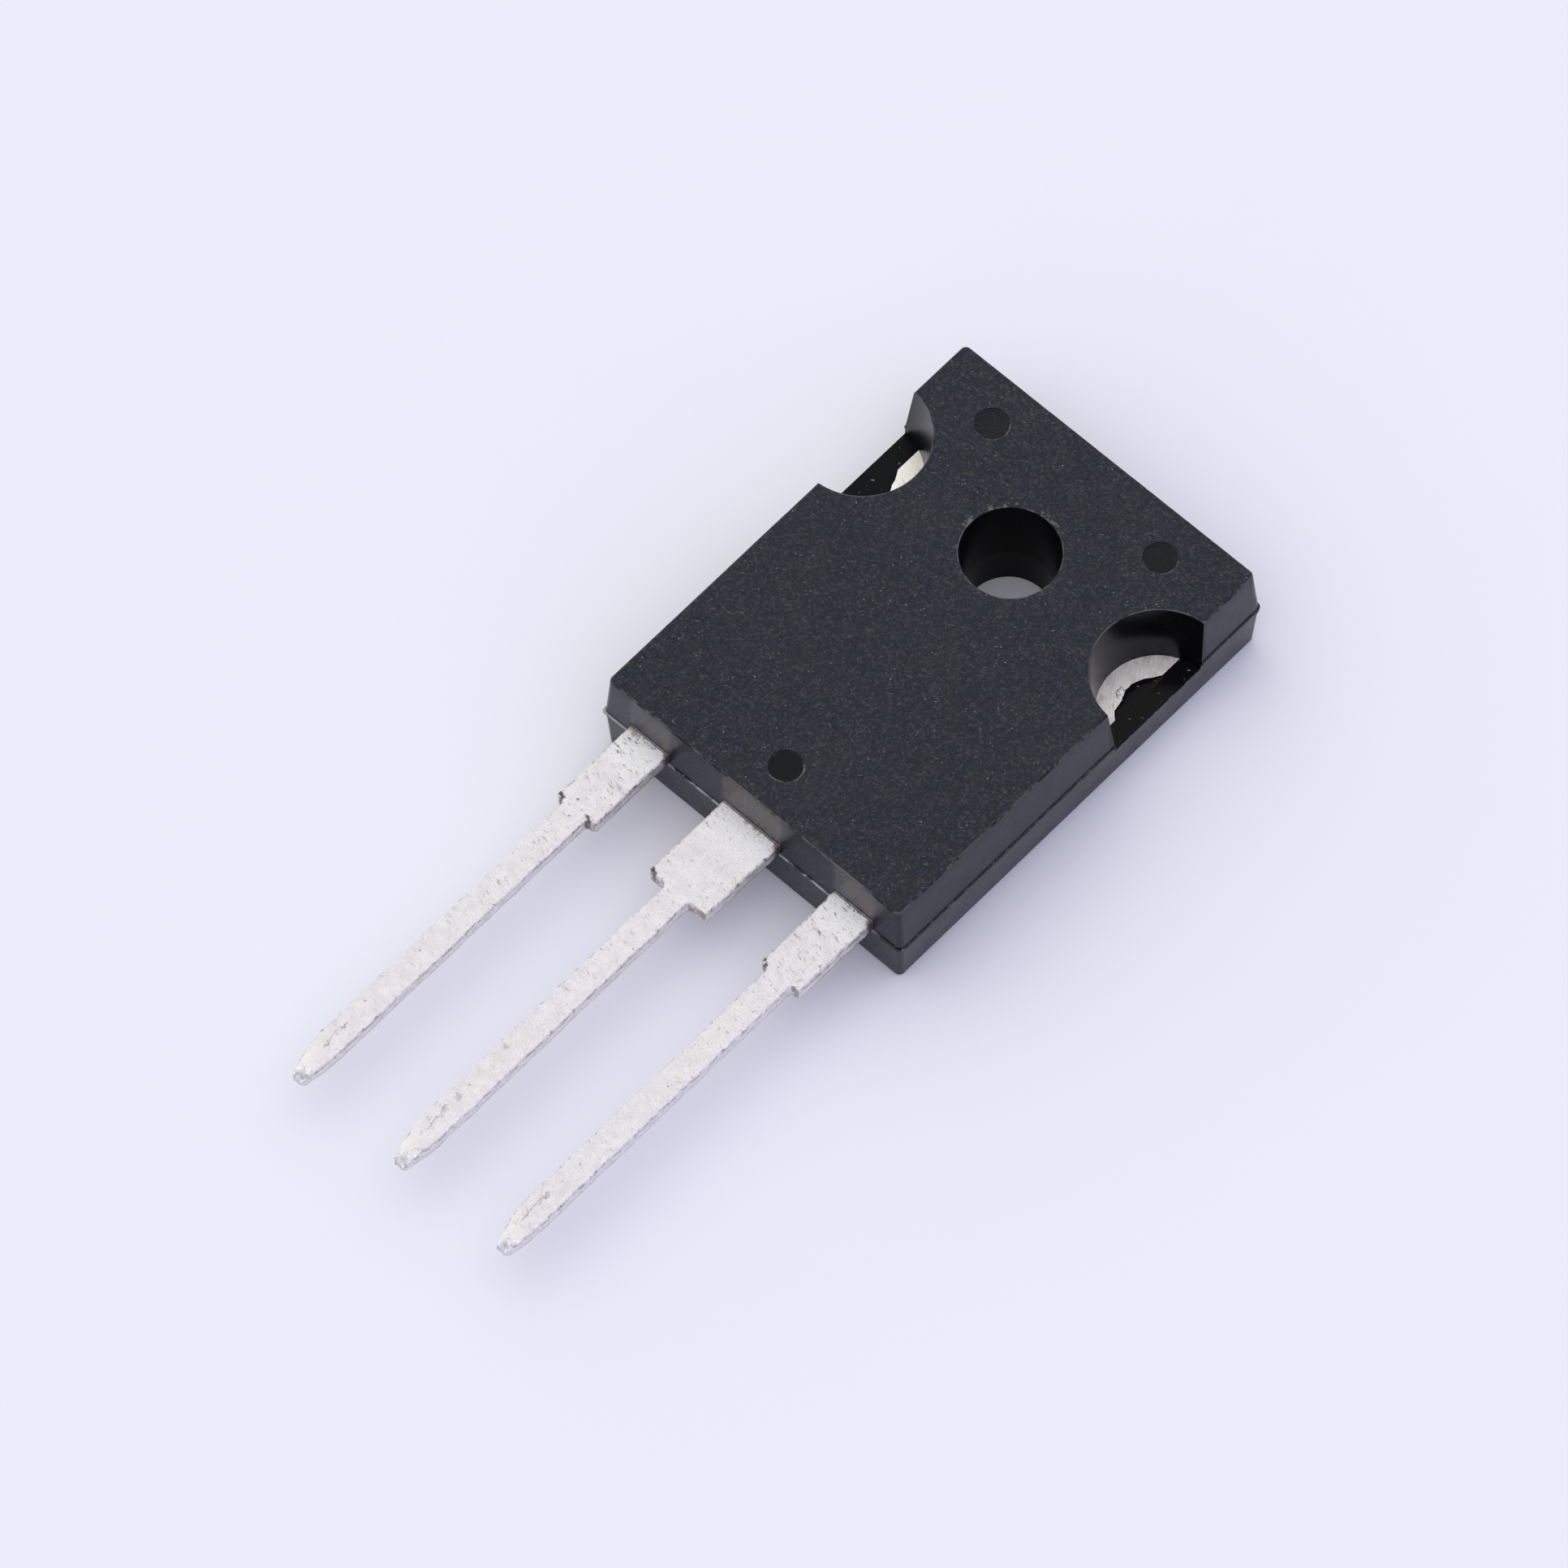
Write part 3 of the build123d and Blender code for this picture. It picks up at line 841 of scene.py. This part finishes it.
def rough(x, y, z, scale, seed=0.0):
    """Smooth noise from -1 to 1 at a place in millimetres."""
    return noise.noise(Vector((x * scale + seed, y * scale - seed, z * scale + 2 * seed)))


def held(value):
    """The value held between 0 and 1."""
    return max(0.0, min(1.0, value))


def bell(x, y):
    """1 at the middle, fading to 0 within about two units of it."""
    return math.exp(-(x ** 2 + y ** 2))


def dressed(name, bm, slot, body="root"):
    """Turns a mesh in millimetres into a smooth piece that rides on the CAD body."""
    bmesh.ops.recalc_face_normals(bm, faces=bm.faces)
    bmesh.ops.scale(bm, vec=(MM, MM, MM), verts=bm.verts)
    mesh = bpy.data.meshes.new(name)
    bm.to_mesh(mesh)
    bm.free()
    obj = bpy.data.objects.new(name, mesh)
    bpy.context.scene.collection.objects.link(obj)
    for face in mesh.polygons:
        face.use_smooth = True
    use(obj, materials[slot])
    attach(obj, body)
    return obj


def join_rows(bm, rows, closed=False):
    """Adds the faces between matching rows of vertices, each row a line or a closed ring."""
    for near, far in zip(rows, rows[1:]):
        count = len(near)
        for i in range(count if closed else count - 1):
            j = (i + 1) % count
            bm.faces.new((near[i], near[j], far[j], far[i]))


def outline(half_shoulder, side):
    """Stations down one side of a lead: place, outward direction, roll and region.

    The tip is a blunt bullet, cut further back at -X than at +X.
    """
    end_half, tip_corner = tip_ends[side]
    corner_y = shoulder_end + shoulder_corner
    root_y = shoulder_end - shank_root
    step_width = half_shoulder - shoulder_corner - shank_half_width - shank_root
    taper = taper_start - lead_tip - tip_corner
    narrowing = shank_half_width - end_half
    path = []
    for i in range(round((skin_start - corner_y) / station_gap)):
        y = skin_start - station_gap * i
        path.append((half_shoulder, y, 1.0, 0.0, shoulder_roll, "shoulder"))
    corner_stations = 10
    for i in range(corner_stations):
        turn = math.radians(90 * i / corner_stations)
        nx, ny = math.cos(turn), -math.sin(turn)
        roll = shoulder_roll + (step_roll - shoulder_roll) * i / corner_stations
        path.append((half_shoulder - shoulder_corner * (1 - nx), corner_y + shoulder_corner * ny,
                     nx, ny, roll, "corner"))
    step_stations = max(4, round(step_width / step_gap))
    for i in range(step_stations + 1):
        x = half_shoulder - shoulder_corner - step_width * i / step_stations
        path.append((x, shoulder_end, 0.0, -1.0, step_roll, "step"))
    root_stations = 12
    for i in range(1, root_stations + 1):
        turn = math.radians(90 * i / root_stations)
        nx, ny = math.sin(turn), -math.cos(turn)
        roll = step_roll + (shank_roll - step_roll) * i / root_stations
        path.append((shank_half_width + shank_root * (1 - nx), root_y - shank_root * ny,
                     nx, ny, roll, "root"))
    for i in range(1, round((root_y - taper_start) / station_gap)):
        path.append((shank_half_width, root_y - station_gap * i, 1.0, 0.0, shank_roll, "shank"))
    taper_stations = 36
    for i in range(taper_stations):
        share = i / (taper_stations - 1)
        half = shank_half_width - narrowing * share ** taper_power
        slope = math.atan(taper_power * narrowing * share ** (taper_power - 1) / taper)
        roll = shank_roll + (tip_roll - shank_roll) * share
        path.append((half, taper_start - taper * share, math.cos(slope), -math.sin(slope),
                     roll, "taper"))
    end_stations = 8
    for i in range(1, end_stations + 1):
        turn = slope + (math.pi / 2 - slope) * i / end_stations
        nx, ny = math.cos(turn), -math.sin(turn)
        path.append((end_half - tip_corner * (math.cos(slope) - nx),
                     lead_tip + tip_corner * (1 + ny), nx, ny, tip_roll, "end"))
    return path


def profile(centre, side, station, seed):
    """Points down one side of a lead at a station: rolled top edge, sheared side, small burr."""
    half, y, nx, ny, roll, _ = station
    share = max(0.0, (coin_start - y) / (coin_start - lead_tip))
    top = lead_top - tip_setback * share ** 1.6 - (tip_lean * share ** 3 if side > 0 else 0.0)
    bottom = lead_bottom + 0.5 * tip_setback * share
    fade = held((lead_wall - y) / 0.4) * held((y - lead_tip) / 0.3)
    wave = fade * (0.032 * rough(side * 3, y, 0, 0.9, seed)
                   + 0.018 * rough(side * 5, y, 0, 2.6, seed)
                   + 0.006 * rough(side * (7 + half), y, 0, 11.0, seed))
    # near the tip the rolled edge narrows with the lead
    fit = min(1.0, half / 0.45) if y < taper_start else 1.0

    def place(out, z):
        reach = out + wave
        return (centre + side * (half + nx * reach), y + ny * reach, z)

    points = [place(-inset * fit * min(1.0, roll), top - drop * roll) for inset, drop in edge_roll]
    for depth in side_depths:
        shear = fade * 0.012 * rough(side * (9 + half), y, depth * 0.6, 8.0, seed)
        points.append(place(-0.004 + 0.004 * depth + shear, top - depth * (top - bottom)))
    return points + [place(out, bottom + lift) for out, lift in lower_edge]


def strip(bm, left, right, path, lump=None):
    """Closes the flat between two matching rows; stations of one step share a face.

    Where lump is given, the flat of the tip has points of its own, lifted by lump(x, y).
    """
    inner = [[] for _ in path]
    if lump:
        for i, station in enumerate(path[:-1]):
            if station[-1] in ("taper", "end"):
                for share in tip_shares:
                    x, y, z = left[i].co.lerp(right[i].co, share)
                    inner[i].append(bm.verts.new((x, y, z + lump(x, y))))
    i, last = 0, len(path) - 1
    while i < last:
        j = i + 1
        while j < last and path[i][-1] == path[j][-1] == path[j + 1][-1] == "step":
            j += 1
        near = [left[i]] + inner[i] + [right[i]]
        far = [left[j]] + inner[j] + [right[j]]
        if j == i + 1 and len(near) == len(far):
            join_rows(bm, [near, far])
        else:
            ring = near + right[i + 1:j] + list(reversed(far)) + list(reversed(left[i + 1:j]))
            bm.faces.new(ring)
        i = j


def lead_skin(bm, centre, shoulder_width, seed):
    """Adds the part of a lead from just inside the body to its tip."""

    def lump(x, y):
        """Height of the dents, ridge and notch that cutting left on the tip."""
        fade = held((coin_start - y) / 0.6)
        ridge = 0.07 * bell((x - centre + 0.04) / 0.13, (y - lead_tip - 0.40) / 0.20)
        notch = 0.16 * bell((x - centre - 0.17) / 0.12, (y - lead_tip - 0.20) / 0.06)
        dents = 0.020 * rough(x, y, 0, 3.0, seed) + 0.008 * rough(x, y, 0, 9.0, seed)
        return ridge - notch + fade * dents

    rows = {}
    for side in (-1, 1):
        path = outline(shoulder_width / 2, side)
        rows[side] = [[bm.verts.new(p) for p in profile(centre, side, s, seed)] for s in path]
        join_rows(bm, rows[side])
    for level in (0, -1):
        left, right = ([row[level] for row in rows[side]] for side in (-1, 1))
        strip(bm, left, right, path, None if level else lump)
    for end in (0, -1):
        bm.faces.new(rows[-1][end] + list(reversed(rows[1][end])))


def nub(bm, place, radii, seed):
    """Adds a small lumpy burr."""
    for vert in bmesh.ops.create_icosphere(bm, subdivisions=3, radius=1.0)["verts"]:
        lump = 1 + 0.35 * rough(*vert.co, 1.6, seed) + 0.25 * rough(*vert.co, 4.0, seed)
        vert.co = Vector(place) + Vector(c * r * lump for c, r in zip(vert.co, radii))


def inner_part(bm, node):
    """Adds the part of a CAD node that lies inside the moulding."""
    bm.from_mesh(nodes[node].data)
    bmesh.ops.scale(bm, vec=(1 / MM,) * 3, verts=bm.verts)
    bmesh.ops.remove_doubles(bm, verts=bm.verts, dist=weld_distance)
    everything = bm.verts[:] + bm.edges[:] + bm.faces[:]
    cut = bmesh.ops.bisect_plane(
        bm, geom=everything, plane_co=(0, skin_start, 0), plane_no=(0, -1, 0), clear_outer=True
    )
    rim = [e for e in cut["geom_cut"] if isinstance(e, bmesh.types.BMEdge)]
    bmesh.ops.holes_fill(bm, edges=rim, sides=0)
    bmesh.ops.recalc_face_normals(bm, faces=bm.faces)
    for edge in bm.edges:
        edge.smooth = len(edge.link_faces) == 2 and edge.calc_face_angle() < sharp_angle


for number, (node, centre) in enumerate(lead_centres.items()):
    bm = bmesh.new()
    inner_part(bm, node)
    lead_skin(bm, centre, shoulder_widths[node], seed=3.1 + 7.7 * number)
    for (x, y, z), radii in burrs[node]:
        nub(bm, (centre + x, y, z), radii, seed=number + x)
    piece = dressed(node + "_stamped", bm, "tinned_copper")
    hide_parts(node)


# Section of a flash tongue: share of the way to the tab's edge, and height over the tab
flash_section = [(0.0, 0.002), (0.03, 0.016), (0.12, 0.024), (0.45, 0.026), (0.8, 0.022),
                 (1.0, 0.001)]


def flash_tongue(name, side, boundary, seed):
    """Thin tongue of moulding compound that crept over the tab's top, in from the tab's edge."""
    flash_gap = 0.05
    points = []
    for (x0, y0), (x1, y1) in zip(boundary, boundary[1:]):
        pieces = max(2, round(math.dist((x0, y0), (x1, y1)) / flash_gap))
        for i in range(pieces):
            t = i / pieces
            x, y = x0 + (x1 - x0) * t, y0 + (y1 - y0) * t
            ragged = 0.05 * rough(x, y, 0, 3.0, seed) + 0.02 * rough(x, y, 0, 12.0, seed)
            points.append((x + ragged, y))
    points.append(boundary[-1])
    outer_x = tab_half_width + 0.12
    bm = bmesh.new()
    rows = []
    for x, y in points:
        reach = outer_x - x
        row = []
        for share, height in flash_section:
            lift = 0.004 * rough(x + share, y, 0, 5.0, seed) if height > 0.01 else 0.0
            row.append(bm.verts.new((side * (x + reach * share), y, tab_top + height + lift)))
        rows.append(row)
    join_rows(bm, rows)
    dressed(name, bm, "epoxy")


# Each outline runs from the tab's edge, in over the tab, and back to its edge.
right_tongue = [(7.0, 1.3), (6.6, 0.7), (6.4, 0.2), (6.4, -0.2), (6.6, -0.6), (6.7, -1.2),
                (7.0, -1.5)]
left_tongue = [(7.0, 1.1), (6.7, 0.5), (6.5, 0.0), (6.6, -0.6), (7.0, -1.3)]
flash_tongue("notch_flash_right", 1, right_tongue, seed=1.7)
flash_tongue("notch_flash_left", -1, left_tongue, seed=8.3)


def parting_path(start, corners, end):
    """Places with outward directions from start to end, with every corner rounded."""
    fin_gap, corner_pieces = 0.07, 8
    places = []
    here = Vector(start)
    for turn_at, after in zip(corners + [end], corners[1:] + [end, None]):
        along = (Vector(turn_at) - here).normalized()
        outward = Vector((along.y, -along.x))
        length = (Vector(turn_at) - here).length - (mould_corner if after else 0.0)
        pieces = round(length / fin_gap)
        places += [(here + along * length * i / pieces, outward) for i in range(pieces + 1)]
        if after:
            centre = Vector(turn_at) - mould_corner * (along + outward)
            for i in range(1, corner_pieces):
                turn = math.radians(90 * i / corner_pieces)
                away = outward * math.cos(turn) + along * math.sin(turn)
                places.append((centre + mould_corner * away, away))
            here = centre + mould_corner * along
    return places


def parting_flash():
    """Ragged fins of flash along the parting line, broken where the notches cut it."""
    left, right = cad_low.x / MM, cad_high.x / MM
    low, high = lead_wall - 0.05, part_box("mould_body")[1].y / MM
    lead_wall_room, other_room, root_depth = 0.04, 0.0, 0.12
    fin_start = notch_rim_radius + 0.1
    bm = bmesh.new()
    far_run = parting_path((right, fin_start), [(right, high), (left, high)], (left, fin_start))
    near_run = parting_path((left, -fin_start), [(left, low), (right, low)], (right, -fin_start))
    for run in (far_run, near_run):
        rows = []
        for (x, y), outward in run:
            ragged = 0.35 + 0.8 * rough(x, y, 0, 1.3, 5.0) + 0.5 * rough(x, y, 0, 6.0, 9.0)
            ragged = max(0.0, ragged)
            room = lead_wall_room if outward.y < -0.9 else other_room
            # one spike stands out at the corner by the gate lead
            spike = 0.10 * math.exp(-(Vector((x, y)) - Vector((left, low))).length_squared / 0.03)
            reach = min(1.0, ragged) * room + spike - 0.004
            if outward.x < 0:
                reach = min(reach, (x - left) / max(1e-6, -outward.x) - 0.002)
            middle = parting_height + 0.025 + 0.012 * rough(x, y, 0, 2.0, 3.0)
            thick = 0.012 + 0.008 * ragged
            ring = [(-root_depth, -thick), (reach * 0.7, -thick), (reach, 0.0),
                    (reach * 0.7, thick), (-root_depth, thick)]
            rows.append([bm.verts.new((x + outward.x * out, y + outward.y * out, middle + up))
                         for out, up in ring])
        join_rows(bm, rows, closed=True)
        for row in (rows[0], rows[-1]):
            bm.faces.new(row)
    dressed("parting_flash", bm, "epoxy")


parting_flash()


# ---------------------------------------------------------------- stage, light and camera

def floor():
    """Flat paper under the part, a hair below it."""
    half_m = 0.6
    gap_m = 0.00001
    mesh = bpy.data.meshes.new("floor")
    corners = [(-half_m, -half_m, 0), (half_m, -half_m, 0), (half_m, half_m, 0),
               (-half_m, half_m, 0)]
    mesh.from_pydata(corners, [], [(0, 1, 2, 3)])
    obj = bpy.data.objects.new("floor", mesh)
    bpy.context.scene.collection.objects.link(obj)
    obj.location.z = cad_low.z - gap_m
    use(obj, paper())


floor()

# Light of the room: from its sides, the part added overhead, and the part added towards +X
room_sides = (0.57, 0.57, 0.68)
room_overhead = (1.17, 1.17, 1.07)
room_rightward = (-0.33, -0.33, -0.13)


def soft_room():
    """White room, brightest overhead; the left is warmer and brighter, the right cooler."""
    world = bpy.data.worlds.new("soft_room")
    world.use_nodes = True
    tree = world.node_tree
    split = tree.nodes.new("ShaderNodeSeparateXYZ")
    tree.links.new(tree.nodes.new("ShaderNodeTexCoord").outputs["Generated"], split.inputs[0])
    height = tree.nodes.new("ShaderNodeMath")
    height.operation = "POWER"
    height.use_clamp = True
    tree.links.new(split.outputs["Z"], height.inputs[0])
    height.inputs[1].default_value = 3
    overhead = tree.nodes.new("ShaderNodeVectorMath")
    overhead.operation = "MULTIPLY_ADD"
    tree.links.new(height.outputs[0], overhead.inputs[0])
    overhead.inputs[1].default_value = room_overhead
    overhead.inputs[2].default_value = room_sides
    sideways = tree.nodes.new("ShaderNodeVectorMath")
    sideways.operation = "MULTIPLY_ADD"
    tree.links.new(split.outputs["X"], sideways.inputs[0])
    sideways.inputs[1].default_value = room_rightward
    tree.links.new(overhead.outputs[0], sideways.inputs[2])
    background = tree.nodes["Background"]
    tree.links.new(sideways.outputs[0], background.inputs["Color"])
    background.inputs["Strength"].default_value = 1.0
    bpy.context.scene.world = world


soft_room()

# The camera looks down on the part from beyond the lead tips at +X.
camera_azimuth = math.radians(42.79)
camera_elevation = math.radians(61.4)
camera_distance_m = 0.5773
camera_aim_m = Vector((-0.001386, -0.011656, 0.0))
right = Vector((math.cos(camera_azimuth), math.sin(camera_azimuth), 0))
back = Vector((
    math.sin(camera_azimuth) * math.cos(camera_elevation),
    -math.cos(camera_azimuth) * math.cos(camera_elevation),
    math.sin(camera_elevation),
))
camera_data = bpy.data.cameras.new("camera")
camera_data.sensor_width = 36
camera_data.lens = 335.4
camera_data.clip_start = 0.01
camera_data.clip_end = 5
camera = bpy.data.objects.new("camera", camera_data)
bpy.context.scene.collection.objects.link(camera)
axes = Matrix((right, back.cross(right), back)).transposed()
camera.matrix_world = Matrix.Translation(camera_aim_m + camera_distance_m * back) @ axes.to_4x4()
bpy.context.scene.camera = camera
bpy.context.scene.view_settings.view_transform = "Standard"
